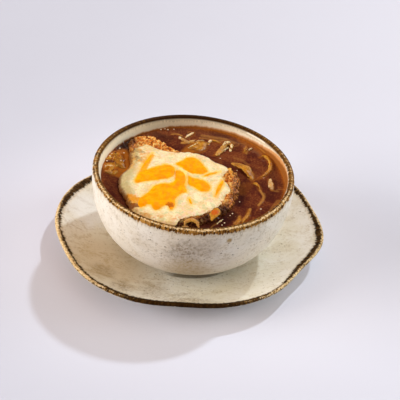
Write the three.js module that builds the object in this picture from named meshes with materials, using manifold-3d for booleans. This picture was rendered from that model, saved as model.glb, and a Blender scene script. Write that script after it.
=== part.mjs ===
// French onion soup in a round stoneware bowl on its saucer, with a slice of bread, melted white cheese,
// pieces of orange cheese and strips of onion. Millimetres, +Z up. Plan positions are measured from the
// bowl's axis, heights from the table, until the last lines centre the whole on the saucer's outline.

import * as THREE from 'three';
import { mergeVertices } from 'three/addons/utils/BufferGeometryUtils.js';
import Module from 'manifold-3d';

const wasm = await Module();
wasm.setup();

// ---- Driving dimensions ----

const gap = 0.3; // clearance between pieces that touch
const turns = 52; // facets round the bowl and the saucer

const saucer = {
  // distance of the edge from the bowl's axis, at equal steps of angle from +X towards +Y
  edgeRadii: [97.4, 97.9, 101.5, 96, 89, 87, 89.8, 95.5, 95.7, 92.3, 92.4, 89.3, 84, 86.1, 88.2, 88.2],
  edgeHeight: 17.5,
  lipThickness: 3.6,
  wellRadius: 44,
  wellHeight: 7,
  footOuter: 50,
  footInner: 43,
  footRecess: 1.4,
  // underside and upper face as [reach from the foot to the edge, share of the way up]
  underside: [[0.05, 0.16], [0.55, 0.52], [0.93, 0.94]],
  upperFace: [[0.94, 0.95], [0.7, 0.52], [0.4, 0.2], [0.08, 0.03]],
  lip: [[1, 1.6], [0.985, 0]], // [reach, drop below the edge's height]
};

const bowl = {
  radius: 70,
  lipInner: 65.8,
  lipRound: 2, // the lip's outer corner starts this far below the rim
  height: 61.5,
  shoulder: 61.4, // how far out the wall is drawn at the foot
  belly: 71.3, // how far out it is drawn in its upper half
  bellyDrop: 27.2, // the belly's depth below the rim
  hollow: 60.7, // the same for the inner wall, under the lip
  hollowDrop: 14,
  footOuter: 33,
  footInner: 27,
  footHeight: 3,
  footRecess: 1.5,
  floorThickness: 6,
  wallRows: 6,
};
const bowlBase = saucer.wellHeight + gap;
const rimHeight = bowlBase + bowl.height;

const soupDepthBelowRim = 8.8;
const soupLevel = rimHeight - soupDepthBelowRim;
const soupFacets = 40;

const bread = {
  above: 3.3, // top crust over the soup
  steps: 44,
  // side as [inset from the outline, height over the soup]
  side: [[5, -16], [1.5, -12], [0, -3], [0, 0.6], [0.84, 2.22], [3.84, 3.3]],
};
const cheese = {
  above: 5.7,
  dip: 0.8, // its hem hangs this far into the soup
  steps: 54,
  // side as [scale of the outline, drop below the top]
  side: [[1, 4.8], [0.99, 3.1], [0.955, 1.7], [0.88, 0.8], [0.7, 0.3], [0.4, 0]],
  hemScale: 0.975,
};
const cheddar = { thickness: 1.2, settle: 3, steps: 48 };
const stripSides = 6;

// ---- Colours and finishes ----

const finishes = {
  glaze: { color: 0xe2d8c4, roughness: 0.35 },
  broth: { color: 0x5e3420, roughness: 0.15 },
  crust: { color: 0xa8683a, roughness: 0.8 },
  whiteCheese: { color: 0xf1dcb4, roughness: 0.4 },
  orangeCheese: { color: 0xfca412, roughness: 0.4 },
  onion: { color: 0xb98a4c, roughness: 0.25 },
};

// ---- Geometry helpers ----

// Closed solid from rings of equally many points, each end closed by a fan to the ring's middle.
function loft(rings) {
  const count = rings[0].length;
  const positions = rings.flat().flatMap((p) => [p.x, p.y, p.z]);
  const index = [];
  for (let row = 0; row + 1 < rings.length; row++) {
    for (let i = 0; i < count; i++) {
      const a = row * count + i;
      const b = row * count + ((i + 1) % count);
      index.push(a, b, b + count, a, b + count, a + count);
    }
  }
  const ends = [
    { ring: rings[0], first: 0, inward: true },
    { ring: rings.at(-1), first: (rings.length - 1) * count, inward: false },
  ];
  for (const { ring, first, inward } of ends) {
    const middle = ring.reduce((sum, p) => sum.add(p), new THREE.Vector3()).divideScalar(count);
    const tip = positions.length / 3;
    positions.push(middle.x, middle.y, middle.z);
    for (let i = 0; i < count; i++) {
      const next = first + ((i + 1) % count);
      index.push(...(inward ? [tip, next, first + i] : [tip, first + i, next]));
    }
  }
  const geometry = new THREE.BufferGeometry();
  geometry.setAttribute('position', new THREE.Float32BufferAttribute(positions, 3));
  geometry.setIndex(index);
  return geometry;
}

// Lathe about +Z from [radius, height] pairs, from the axis at the base, outwards, and back to the axis.
function turned(profile, facets) {
  const points = profile.map(([radius, height]) => new THREE.Vector2(radius, height));
  return new THREE.LatheGeometry(points, facets).rotateX(Math.PI / 2);
}

function toSolid(geometry) {
  const bare = new THREE.BufferGeometry();
  bare.setAttribute('position', geometry.getAttribute('position').clone());
  if (geometry.index) bare.setIndex(geometry.index.clone());
  const merged = mergeVertices(bare, 1e-4);
  const source = merged.index.array;
  const triangles = [];
  for (let i = 0; i < source.length; i += 3) {
    const [a, b, c] = source.slice(i, i + 3);
    if (a !== b && b !== c && c !== a) triangles.push(a, b, c);
  }
  const vertProperties = new Float32Array(merged.getAttribute('position').array);
  const triVerts = new Uint32Array(triangles);
  return new wasm.Manifold(new wasm.Mesh({ numProp: 3, vertProperties, triVerts }));
}

function toGeometry(solid) {
  const mesh = solid.getMesh();
  const geometry = new THREE.BufferGeometry();
  geometry.setAttribute('position', new THREE.Float32BufferAttribute(mesh.vertProperties, 3));
  geometry.setIndex([...mesh.triVerts]);
  return geometry;
}

// Smooth closed outline through plan points, sampled evenly and turning anticlockwise.
function smoothOutline(points, samples) {
  const corners = points.map(([x, y]) => new THREE.Vector3(x, y, 0));
  if (THREE.ShapeUtils.isClockWise(corners)) corners.reverse();
  return new THREE.CatmullRomCurve3(corners, true, 'centripetal').getSpacedPoints(samples).slice(0, samples);
}

// The outline drawn in by a fixed distance towards its middle, at one height.
function insetRing(outline, inset, height) {
  const middle = outline.reduce((sum, p) => sum.add(p), new THREE.Vector3()).divideScalar(outline.length);
  return outline.map((p) => {
    const spoke = p.clone().sub(middle);
    return middle.clone().addScaledVector(spoke, 1 - inset / spoke.length()).setZ(height);
  });
}

function scaledRing(outline, scale, height) {
  const middle = outline.reduce((sum, p) => sum.add(p), new THREE.Vector3()).divideScalar(outline.length);
  return outline.map((p) => p.clone().sub(middle).multiplyScalar(scale).add(middle).setZ(height));
}

const group = new THREE.Group();

function addPiece(name, geometry, finish) {
  const material = new THREE.MeshStandardMaterial({ ...finishes[finish], metalness: 0 });
  const mesh = new THREE.Mesh(geometry, material);
  mesh.name = name;
  group.add(mesh);
}

// ---- Saucer: an uneven rounded plate with a turned foot ring ----

// Edge distance at an angle, a periodic Catmull-Rom blend of the listed radii.
function saucerEdge(angle) {
  const radii = saucer.edgeRadii;
  const place = ((angle / (2 * Math.PI)) * radii.length + radii.length) % radii.length;
  const i = Math.floor(place);
  const t = place - i;
  const [a, b, c, d] = [-1, 0, 1, 2].map((step) => radii[(i + step + radii.length) % radii.length]);
  return b + 0.5 * t * (c - a + t * (2 * a - 5 * b + 4 * c - d + t * (3 * (b - c) + d - a)));
}

// A ring that is round at reach 0, of the foot's radius, and has the saucer's outline at reach 1.
function saucerRing(reach, height) {
  return Array.from({ length: turns }, (_, i) => {
    const angle = (2 * Math.PI * i) / turns;
    const radius = saucer.footOuter + reach * (saucerEdge(angle) - saucer.footOuter);
    return new THREE.Vector3(radius * Math.cos(angle), radius * Math.sin(angle), height);
  });
}

function roundRing(radius, height) {
  return Array.from({ length: turns }, (_, i) => {
    const angle = (2 * Math.PI * i) / turns;
    return new THREE.Vector3(radius * Math.cos(angle), radius * Math.sin(angle), height);
  });
}

function makeSaucer() {
  const { edgeHeight, lipThickness, wellRadius, wellHeight, footInner, footRecess } = saucer;
  return loft([
    roundRing(footInner / 2, footRecess),
    roundRing(footInner, footRecess),
    roundRing(footInner, 0),
    saucerRing(0, 0),
    ...saucer.underside.map(([reach, share]) => saucerRing(reach, share * (edgeHeight - lipThickness))),
    ...saucer.lip.map(([reach, drop]) => saucerRing(reach, edgeHeight - drop)),
    ...saucer.upperFace.map(([reach, share]) =>
      saucerRing(reach, wellHeight + share * (edgeHeight - wellHeight))),
    roundRing(wellRadius, wellHeight),
    roundRing(wellRadius / 2, wellHeight),
  ]);
}

// ---- Bowl: a rounded wall on a low foot, thicker at the lip's base ----

function curvePoint([p0, p1, p2, p3], t) {
  const s = 1 - t;
  const weights = [s * s * s, 3 * s * s * t, 3 * s * t * t, t * t * t];
  return [0, 1].map((k) => weights[0] * p0[k] + weights[1] * p1[k] + weights[2] * p2[k] + weights[3] * p3[k]);
}

// Control points of both walls as [radius, height].
const footTop = bowlBase + bowl.footHeight;
const floorInside = footTop + bowl.floorThickness;
const outerWall = [
  [bowl.footOuter, footTop],
  [bowl.shoulder, footTop],
  [bowl.belly, rimHeight - bowl.bellyDrop],
  [bowl.radius, rimHeight - bowl.lipRound],
];
const innerWall = [
  [bowl.lipInner, rimHeight - 0.6 * bowl.lipRound],
  [bowl.hollow, rimHeight - bowl.hollowDrop],
  [bowl.lipInner, floorInside],
  [bowl.footInner, floorInside],
];

const wallSteps = Array.from({ length: bowl.wallRows + 1 }, (_, i) => i / bowl.wallRows);
const outerPoints = wallSteps.map((t) => curvePoint(outerWall, t));
const innerPoints = wallSteps.map((t) => curvePoint(innerWall, t));

function makeBowl() {
  return turned([
    [0, bowlBase + bowl.footRecess],
    [bowl.footInner, bowlBase + bowl.footRecess],
    [bowl.footInner, bowlBase],
    [bowl.footOuter, bowlBase],
    ...outerPoints,
    [bowl.radius - 0.3 * bowl.lipRound, rimHeight - 0.3 * bowl.lipRound],
    [bowl.radius - bowl.lipRound, rimHeight],
    [bowl.lipInner + 0.45 * bowl.lipRound, rimHeight - 0.05 * bowl.lipRound],
    ...innerPoints,
    [0, floorInside],
  ], turns);
}

// ---- Bread: a thick oval slice that floats with its crust just out of the soup ----

const breadOutline = smoothOutline([
  [-48.5, 34], [-46.5, 39.5], [-40.5, 43.6], [-33.5, 43.2], [-26.5, 38], [-18, 32], [-10, 28], [0, 23.5],
  [10, 18.8], [20, 14], [27.5, 11], [32, 3], [32, -9], [30.5, -21], [26, -34], [17.5, -46.5], [4, -54],
  [-9, -56.5], [-25, -52.5], [-38, -41], [-46, -22], [-46.5, -6], [-42, 8], [-46, 22],
], bread.steps);

function makeBread(grow = 0) {
  const side = bread.side.map(([inset, height]) => {
    const swell = height > 0 ? grow : -grow; // the top rises and the base sinks
    return insetRing(breadOutline, inset - grow, soupLevel + height + swell);
  });
  return toSolid(loft([...side, scaledRing(breadOutline, 0.5, soupLevel + bread.above + grow)]));
}

// ---- Melted white cheese: a blanket over the bread that hangs down into the soup ----

const cheeseOutline = smoothOutline([
  [-46.8, 20], [-43, 28.2], [-36, 32], [-29.5, 29], [-24.5, 26.4], [-13, 25.8], [-1, 27.4], [9, 23.4],
  [15.5, 17.2], [24, 12.8], [25.5, 7.5], [21.5, 0], [25.8, -8], [28.3, -16.5], [24.6, -23], [23.6, -30],
  [16.5, -40.5], [8, -47.8], [-3, -52.5], [-10, -58.2], [-22, -56.5], [-38, -46.5], [-43.5, -35], [-49.5, -22],
  [-50.5, -9], [-45.5, 1], [-45.3, 10],
], cheese.steps);

function makeCheese(grow = 0) {
  const hem = { scale: cheese.hemScale, height: soupLevel - cheese.dip - grow };
  const side = cheese.side.map(([scale, drop]) => (
    { scale, height: soupLevel + cheese.above - drop + grow }
  ));
  return toSolid(loft([hem, ...side].map(({ scale, height }) =>
    insetRing(scaledRing(cheeseOutline, scale, height), -grow, height))));
}

// ---- Strips and petals: a lens-shaped section swept along a smooth path, pointed at both ends ----

// path holds [x, y, height above the soup]; tilt turns the section about the path, in degrees.
function makeStrip({ path, width, thickness, tilt = 0, steps = 7 }, grow = 0, level = soupLevel) {
  const curve = new THREE.CatmullRomCurve3(path.map(([x, y, z]) => new THREE.Vector3(x, y, level + z)));
  const up = new THREE.Vector3(0, 0, 1);
  const rings = [];
  for (let step = 0; step <= steps; step++) {
    const t = step / steps;
    const along = curve.getTangent(t);
    const reach = (2 * t - 1) ** 9 * grow; // growth past both ends
    const centre = curve.getPoint(t).addScaledVector(along, reach);
    const fullness = Math.max(0.25, Math.sin(Math.PI * t) ** 0.5);
    const roll = THREE.MathUtils.degToRad(tilt);
    const side = new THREE.Vector3().crossVectors(along, up).normalize().applyAxisAngle(along, roll);
    const lift = new THREE.Vector3().crossVectors(side, along).normalize();
    rings.push(Array.from({ length: stripSides }, (_, i) => {
      const angle = (-2 * Math.PI * i) / stripSides;
      const across = (0.5 * width * fullness + grow) * Math.cos(angle);
      const over = (0.5 * thickness * Math.sqrt(fullness) + grow) * Math.sin(angle);
      return centre.clone().addScaledVector(side, across).addScaledVector(lift, over);
    }));
  }
  return toSolid(loft(rings));
}

const onions = {
  onion_petal_back: { path: [[-3, 31.5, -1.2], [1.5, 38.5, 0.1], [5, 46, 0.9]], width: 11.5, thickness: 1.9 },
  onion_edge_back: {
    path: [[-8.5, 44.5, -0.2], [-4.5, 44.8, 0.6], [-0.8, 48.5, -0.2]], width: 2, thickness: 1.6,
  },
  onion_sliver_back: {
    path: [[-8.5, 50, -0.2], [-5.5, 52.8, 0.8], [-2.5, 58, 0.3]], width: 1.9, thickness: 1.6,
  },
  onion_arc_back: {
    path: [[9.5, 49.5, -0.3], [13.5, 48.8, 0.6], [18.5, 46.8, -0.2]], width: 2, thickness: 1.5,
  },
  onion_curl_back: {
    path: [[13.5, 30.5, -0.6], [16.5, 35, 0.4], [19.5, 41, 0.9], [22.3, 46.6, 1.2], [25.6, 45, 1], [25.2, 39.8, 0.2]],
    width: 2.7, thickness: 1.9, steps: 11,
  },
  onion_sliver_middle: {
    path: [[34.8, 37.5, -0.3], [36, 41.5, 0.7], [36.6, 46, 0]], width: 1.9, thickness: 1.6,
  },
  onion_ring_right: {
    path: [[46.5, 33.5, -0.5], [49.3, 36, 0.3], [52.6, 32, 0.6], [54.3, 24.5, 0.7], [52.8, 17, 0.6],
      [49.3, 11, 0.2], [44.5, 6, -0.6]],
    width: 2.5, thickness: 2, steps: 13,
  },
  onion_fold_right: {
    path: [[27.5, 22, -0.2], [32.5, 19, 1], [37, 15, 1.4], [40, 9.5, 0.8], [42, 3.8, -0.4]],
    width: 6.4, thickness: 1.9, tilt: -14, steps: 8,
  },
  onion_leaf_right: {
    path: [[53.6, 7.5, -0.4], [54.6, 1, 0.6], [55.5, -5.5, -0.4]], width: 2.7, thickness: 1.8,
  },
  onion_arc_right: {
    path: [[41.4, 1, -0.2], [44, 0.3, 0.6], [46.1, -2.8, 0.6], [47, -7, -0.3]], width: 1.9, thickness: 1.6,
  },
  onion_sliver_front: {
    path: [[39.6, -30, -0.3], [39, -36, 0.5], [37.2, -41.5, 0.5], [34.4, -47.5, -0.3]],
    width: 2, thickness: 1.7,
  },
  onion_thread_front: {
    path: [[33.8, -39, -0.3], [33, -45, 0.4], [30.3, -50.5, -0.3]], width: 1.8, thickness: 1.6,
  },
  onion_petal_front: {
    path: [[17.4, -37, 4], [16.6, -42.4, 4.4], [14.6, -48.6, 2.6]], width: 7.4, thickness: 2, tilt: 8,
  },
  onion_curl_front: {
    path: [[-2.6, -57.8, 2.4], [-2, -54.2, 3.6], [1.6, -52.6, 4.3], [5.2, -54, 3.6], [6.4, -57.4, 2]],
    width: 2.8, thickness: 2.2, steps: 9,
  },
  onion_petal_left: {
    path: [[-55.6, 18.5, -0.2], [-54.2, 13, 0.8], [-51.6, 7.5, 0.9], [-48.2, 3.4, 0.1]],
    width: 5.6, thickness: 2.2,
  },
  onion_curl_left: {
    path: [[-58.6, 6.6, -0.2], [-56.9, 3.6, 0.8], [-58, 0.2, 1], [-59.2, -2.6, 0]], width: 2.5, thickness: 2,
  },
  onion_shred_left: {
    path: [[-56, -6, -0.4], [-54.6, -2.6, 0.5], [-52.4, 0, 0]], width: 3.4, thickness: 1.8,
  },
};

// ---- Orange cheese: thin pieces that lie on the white cheese ----

const cheddarPieces = {
  cheddar_left: [
    [-38.8, -18.4], [-34.5, -17.6], [-28, -15.2], [-21, -12.6], [-15.6, -10], [-13.6, -7.4], [-12.9, -2.4],
    [-13.6, 3], [-16.2, 5.4], [-20.5, 5.9], [-25, 3.2], [-29.3, -0.4], [-33.3, -2.6], [-36.8, -5.4], [-38, -10],
  ],
  cheddar_back: [
    [-13.2, 8], [-9.2, 12.2], [-5.8, 16.8], [-2.5, 18.2], [1.5, 16.8], [5, 12.2], [8.4, 5.5], [9.9, 1.9],
    [6.9, -1], [2.8, -2], [-2.4, -1.7], [-7.2, 2.4], [-11.2, 5.8],
  ],
  cheddar_right: [
    [-3.3, -5.9], [-0.2, -6.9], [4.8, -7.4], [8.7, -9.9], [12.1, -14.7], [12.1, -19.4], [8.8, -22.2],
    [5.1, -21.3], [0.4, -17.5], [-2.7, -15.2], [-3.5, -10.3],
  ],
  cheddar_front: [
    [-12.2, 0.2], [-8.2, -0.8], [-6, -4.3], [-5, -10.5], [-5.2, -18.2], [-2.9, -24.1], [-6.4, -26.5],
    [-10.2, -33], [-10.4, -42], [-12.6, -46.4], [-15.1, -41.3], [-17.4, -41.8], [-20.5, -46], [-24, -46.6],
    [-26, -42.4], [-28.4, -41.2], [-30.6, -45], [-33.9, -44.8], [-35, -42], [-34.4, -36.9], [-30, -29.4],
    [-27.6, -25.2], [-25.6, -20.8], [-20.6, -17.6], [-14.3, -15.6], [-12.2, -12], [-12.1, -6],
  ],
};
const cheddarSlivers = {
  cheddar_sliver_left: {
    path: [[-30.1, 18.8, 0], [-32.4, 10, 0], [-34.6, 3, 0], [-36.4, -3.4, 0]], width: 3.4, thickness: 1.6,
  },
  cheddar_sliver_back: { path: [[6, -4.4, 0], [11, -0.8, 0], [18, 3.8, 0]], width: 2.8, thickness: 1.6 },
  cheddar_sliver_right: {
    path: [[21.2, -4, 0], [19.6, -10.8, 0], [17.8, -17.4, 0], [15.8, -25.6, 0]], width: 3.6, thickness: 1.6,
  },
  cheddar_drop: { path: [[-1.6, -30, 0], [-0.4, -33.8, 0], [0.8, -37.4, 0]], width: 3, thickness: 1.6 },
};

function makeCheddar(corners, whiteCheese) {
  const outline = smoothOutline(corners, cheddar.steps);
  const top = soupLevel + cheese.above + gap + cheddar.thickness;
  const depth = cheddar.settle + gap + cheddar.thickness;
  const shape = new THREE.Shape(outline.map((p) => new THREE.Vector2(p.x, p.y)));
  const plate = new THREE.ExtrudeGeometry(shape, { depth, bevelEnabled: false }).translate(0, 0, top - depth);
  return toSolid(plate).subtract(whiteCheese);
}

// ---- Assembly ----

addPiece('saucer', makeSaucer(), 'glaze');
addPiece('bowl', makeBowl(), 'glaze');

const breadRoom = makeBread(gap);
const cheeseRoom = makeCheese(gap);

addPiece('bread', toGeometry(makeBread()), 'crust');
addPiece('white_cheese', toGeometry(makeCheese().subtract(breadRoom)), 'whiteCheese');

for (const [name, corners] of Object.entries(cheddarPieces)) {
  addPiece(name, toGeometry(makeCheddar(corners, cheeseRoom)), 'orangeCheese');
}
for (const [name, form] of Object.entries(cheddarSlivers)) {
  const piece = makeStrip(form, 0, soupLevel + cheese.above + gap).subtract(cheeseRoom);
  addPiece(name, toGeometry(piece), 'orangeCheese');
}

// The soup fills the bowl to its level, less the room that everything in it takes.
function makeBasin() {
  const walls = innerPoints.map(([radius, height]) => [radius - gap, height + gap]).reverse();
  const wet = walls.filter(([, height]) => height < soupLevel);
  const [r0, h0] = wet.at(-1);
  const [r1, h1] = walls[wet.length];
  const brim = r0 + ((r1 - r0) * (soupLevel - h0)) / (h1 - h0);
  return toSolid(turned([[0, floorInside + gap], ...wet, [brim, soupLevel], [0, soupLevel]], soupFacets));
}

let soup = makeBasin().subtract(breadRoom).subtract(cheeseRoom);
for (const [name, form] of Object.entries(onions)) {
  const strip = makeStrip(form).subtract(breadRoom).subtract(cheeseRoom);
  addPiece(name, toGeometry(strip), 'onion');
  soup = soup.subtract(makeStrip(form, gap));
}
addPiece('soup', toGeometry(soup), 'broth');

// The origin lies under the middle of the saucer's outline, on the table.
const outline = new THREE.Box3().setFromPoints(saucerRing(1, 0));
const middle = outline.getCenter(new THREE.Vector3());
group.position.set(-middle.x, -middle.y, 0);
group.updateMatrixWorld(true);

export default group;
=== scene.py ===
# A bowl of french onion soup on its saucer: glazed stoneware, broth with onion strips, toast, melted cheese.
# Plan places are in mm from the bowl's axis, heights in mm from the table.
import math
import random

import bmesh
import bpy
import numpy as np
from mathutils import Matrix, Vector, noise
from mathutils.bvhtree import BVHTree
from mathutils.geometry import interpolate_bezier
from mathutils.kdtree import KDTree


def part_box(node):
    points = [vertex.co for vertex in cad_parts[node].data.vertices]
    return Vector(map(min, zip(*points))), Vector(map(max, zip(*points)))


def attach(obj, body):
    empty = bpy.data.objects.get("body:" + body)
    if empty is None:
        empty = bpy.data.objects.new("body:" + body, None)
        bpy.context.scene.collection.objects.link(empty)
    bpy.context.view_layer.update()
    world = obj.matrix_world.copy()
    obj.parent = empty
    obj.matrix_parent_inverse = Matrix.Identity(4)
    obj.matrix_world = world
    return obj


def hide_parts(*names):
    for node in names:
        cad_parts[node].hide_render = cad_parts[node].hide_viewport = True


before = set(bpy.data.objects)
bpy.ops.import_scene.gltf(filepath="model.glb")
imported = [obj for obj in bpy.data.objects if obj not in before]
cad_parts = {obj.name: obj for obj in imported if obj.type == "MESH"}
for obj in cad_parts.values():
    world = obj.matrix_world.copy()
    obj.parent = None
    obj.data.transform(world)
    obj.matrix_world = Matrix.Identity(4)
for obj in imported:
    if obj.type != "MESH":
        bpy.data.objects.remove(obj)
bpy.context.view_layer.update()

mm = 0.001
bowlLow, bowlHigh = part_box("bowl")
axisX = (bowlLow.x + bowlHigh.x) / 2
axisY = (bowlLow.y + bowlHigh.y) / 2
bowlBase = bowlLow.z / mm
rimHeight = bowlHigh.z / mm
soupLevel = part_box("soup")[1].z / mm
onionNodes = sorted(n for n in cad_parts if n.startswith("onion"))
cheddarNodes = sorted(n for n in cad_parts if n.startswith("cheddar"))


def at(x, y, z):
    return Vector((axisX + x * mm, axisY + y * mm, z * mm))


def tone(red, green, blue):  # a display colour, 0 to 255, as the linear colour that sockets hold
    parts = [c / 255 for c in (red, green, blue)]
    return tuple(c / 12.92 if c <= 0.04045 else ((c + 0.055) / 1.055) ** 2.4 for c in parts) + (1,)


class Wire:  # an output socket that can be added, subtracted and multiplied
    def __init__(self, recipe, socket):
        self.recipe, self.socket = recipe, socket

    def math(self, operation, a, b=None, clamp=False):
        inputs = {0: a} if b is None else {0: a, 1: b}
        return self.recipe.add("ShaderNodeMath", {"operation": operation, "use_clamp": clamp}, inputs)

    def __add__(self, other): return self.math("ADD", self, other)
    def __radd__(self, other): return self.math("ADD", other, self)
    def __sub__(self, other): return self.math("SUBTRACT", self, other)
    def __rsub__(self, other): return self.math("SUBTRACT", other, self)
    def __mul__(self, other): return self.math("MULTIPLY", self, other)
    def size(self): return self.math("ABSOLUTE", self)
    def clamped(self): return self.math("ADD", self, 0, clamp=True)


class Recipe:  # one material and its nodes
    def __init__(self, name):
        self.material = bpy.data.materials.new(name)
        self.material.use_nodes = True
        self.tree = self.material.node_tree
        self.shader = self.tree.nodes["Principled BSDF"]

    def add(self, kind, settings=None, inputs=None, output=0):
        node = self.tree.nodes.new(kind)
        for key, value in (settings or {}).items():
            if key == "stops":
                ramp = node.color_ramp
                while len(ramp.elements) < len(value):
                    ramp.elements.new(0.5)
                for element, (place, colour) in zip(ramp.elements, value):
                    element.position, element.color = place, colour
            else:
                setattr(node, key, value)
        for key, value in (inputs or {}).items():
            self.feed(node.inputs[key], value)
        return Wire(self, node.outputs[output])

    def feed(self, socket, value):
        if isinstance(value, Wire):
            self.tree.links.new(value.socket, socket)
        else:
            socket.default_value = value

    def set(self, **values):  # Base_Color=... sets or links the shader's own socket
        for key, value in values.items():
            self.feed(self.shader.inputs[key.replace("_", " ")], value)

    def place(self, x=1, y=1, z=1, shift=(0, 0, 0)):  # mm from the bowl's axis, stretched and shifted
        coordinates = self.add("ShaderNodeTexCoord", output="Object")
        corner = (shift[0] - axisX / mm * x, shift[1] - axisY / mm * y, shift[2])
        return self.add("ShaderNodeMapping", {}, {
            "Vector": coordinates, "Scale": (x / mm, y / mm, z / mm), "Location": corner})

    def attributes(self, *names):
        return [self.add("ShaderNodeAttribute", {"attribute_name": name}, output="Fac") for name in names]

    def vector(self, operation, a, b=None, output=0):
        inputs = {0: a} if b is None else {0: a, 1: b}
        return self.add("ShaderNodeVectorMath", {"operation": operation}, inputs, output)

    def part(self, vector, axis):
        return self.add("ShaderNodeSeparateXYZ", {}, {0: vector}, axis)

    def noise(self, size, detail=3, roughness=0.55, distortion=0, vector=None):  # size of a blotch in mm
        return self.add("ShaderNodeTexNoise", {}, {
            "Vector": vector or self.place(), "Scale": 1 / size, "Detail": detail,
            "Roughness": roughness, "Distortion": distortion})

    def cells(self, size, output="Distance", vector=None):
        return self.add("ShaderNodeTexVoronoi", {}, {"Vector": vector or self.place(), "Scale": 1 / size}, output)

    def fade(self, value, low, high, bottom=0, top=1):  # smooth step from low to high
        return self.add("ShaderNodeMapRange", {"interpolation_type": "SMOOTHSTEP"}, {
            "Value": value, "From Min": low, "From Max": high, "To Min": bottom, "To Max": top})

    def mix(self, share, a, b):
        return self.add("ShaderNodeMix", {"data_type": "RGBA"}, {0: share, 6: a, 7: b}, 2)

    def clouded(self, clouds, first, second):  # two display colours in clouds
        return self.mix(self.fade(clouds, 0.36, 0.64), tone(*first), tone(*second))

    def tint(self, colour, *layers):  # display colours laid over a colour, as (share, shade)
        for share, shade in layers:
            colour = self.mix(share, colour, tone(*shade))
        return colour

    def ramp(self, value, *stops):
        return self.add("ShaderNodeValToRGB", {"stops": [(p, tone(*c)) for p, c in stops]}, {"Fac": value})

    def specks(self, size, radius, share, seed):  # uneven dots in a share of the cells
        place = self.place(shift=(seed, seed * 1.7, seed * 0.6))
        wobble = (self.noise(radius * 1.5, 2, vector=place) - 0.5) * radius * 1.8
        lot = self.add("ShaderNodeSeparateColor", {}, {0: self.cells(size, "Color", place)})
        chosen = self.fade(lot, share - 0.02, share + 0.02, 1, 0)
        return self.fade(self.cells(size, vector=place) * size + wobble, radius * 0.6, radius, 1, 0) * chosen

    def soft(self, weight, spread, reach):  # light that scatters under the surface
        self.set(Subsurface_Weight=weight, Subsurface_Radius=spread, Subsurface_Scale=reach)

    def bump(self, height, distance, strength):
        self.set(Normal=self.add("ShaderNodeBump", {}, {
            "Height": height, "Distance": distance * mm, "Strength": strength}))


def linked(name, form):  # an object of the scene, made from a form
    mesh = bpy.data.meshes.new(name)
    form.to_mesh(mesh)
    form.free()
    thing = bpy.data.objects.new(name, mesh)
    bpy.context.collection.objects.link(thing)
    return thing


def newPiece(name, form, material, slot, *nodes):
    piece = linked(name, form)
    piece.data.shade_smooth()
    piece.data.materials.append(material)
    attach(piece, "root")
    if nodes:
        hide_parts(*nodes)
    return piece


def curve(steps, *handles):  # a smooth run through one Bezier segment, as [radius, height] pairs
    points = interpolate_bezier(*[Vector((r, z, 0)) for r, z in handles], steps)
    return [(p.x, p.y) for p in points]


def joined(*runs):  # runs end to end, with the shared ends kept once
    line = list(runs[0])
    for run in runs[1:]:
        line += run[1:] if math.dist(line[-1], run[0]) < 0.01 else run
    return line


def spun(profile, steps, crest):  # a closed turned body, with the distance along its section stored
    form = bmesh.new()
    run = form.verts.layers.float.new("crest")
    chain = [form.verts.new(at(r, 0, z)) for r, z in profile]
    lengths = np.cumsum([0] + [math.dist(a, b) for a, b in zip(profile, profile[1:])])
    for vert, length in zip(chain, lengths):
        vert[run] = length - lengths[crest]
    edges = [form.edges.new(pair) for pair in zip(chain, chain[1:])]
    bmesh.ops.spin(form, geom=chain + edges, cent=at(0, 0, 0), axis=(0, 0, 1), dvec=(0, 0, 0),
                   angle=2 * math.pi, steps=steps, use_merge=True, use_duplicate=False)
    bmesh.ops.remove_doubles(form, verts=form.verts, dist=1e-6)
    bmesh.ops.recalc_face_normals(form, faces=form.faces)
    return form


def skinOver(node, voxel, relax):  # a fine even skin over one of the frame's own solids
    form = bmesh.new()
    form.from_mesh(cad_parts[node].data)
    bmesh.ops.remove_doubles(form, verts=form.verts, dist=1e-7)
    rough = linked(node, form)
    skin = rough.modifiers.new("skin", "REMESH")
    skin.mode, skin.voxel_size = "VOXEL", voxel * mm
    fine = rough.evaluated_get(bpy.context.evaluated_depsgraph_get()).to_mesh()
    form = bmesh.new()
    form.from_mesh(fine)
    bpy.data.objects.remove(rough)
    for _ in range(relax):
        bmesh.ops.smooth_vert(form, verts=form.verts, factor=0.5, use_axis_x=True, use_axis_y=True, use_axis_z=True)
    form.normal_update()
    return form


def places(form):  # every vertex in plan mm, as an array
    return np.array([((v.co.x - axisX) / mm, (v.co.y - axisY) / mm, v.co.z / mm) for v in form.verts])


def upness(form):
    return np.array([max(v.normal.z, 0) for v in form.verts])


def swell(form, lengths):  # move every vertex out along its normal, in mm
    for vert, length in zip(form.verts, lengths):
        vert.co += vert.normal * length * mm
    form.normal_update()


def lift(form, heights):  # move every vertex up, in mm
    for vert, height in zip(form.verts, heights):
        vert.co.z += height * mm


def store(form, **runs):  # one value for every vertex, under each name
    for name, values in runs.items():
        layer = form.verts.layers.float.get(name) or form.verts.layers.float.new(name)
        for vert, value in zip(form.verts, values):
            vert[layer] = float(value)


def aroundAxis(values, angle):  # a smooth closed run through values spaced evenly from +x anticlockwise
    turn = angle / (2 * math.pi) * len(values)
    i, t = int(turn), turn % 1
    a, b, c, d = [values[(i + k) % len(values)] for k in (-1, 0, 1, 2)]
    return b + 0.5 * t * (c - a + t * (2 * a - 5 * b + 4 * c - d + t * (3 * (b - c) + d - a)))


def storeAround(form, runs):  # values that change with the direction from the axis
    points = places(form)
    angles = np.arctan2(points[:, 1], points[:, 0]) % (2 * math.pi)
    store(form, **{name: [aroundAxis(values, angle) for angle in angles] for name, values in runs.items()})


def step(x, low, high):
    t = np.clip((x - low) / (high - low), 0, 1)
    return t * t * (3 - 2 * t)


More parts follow.
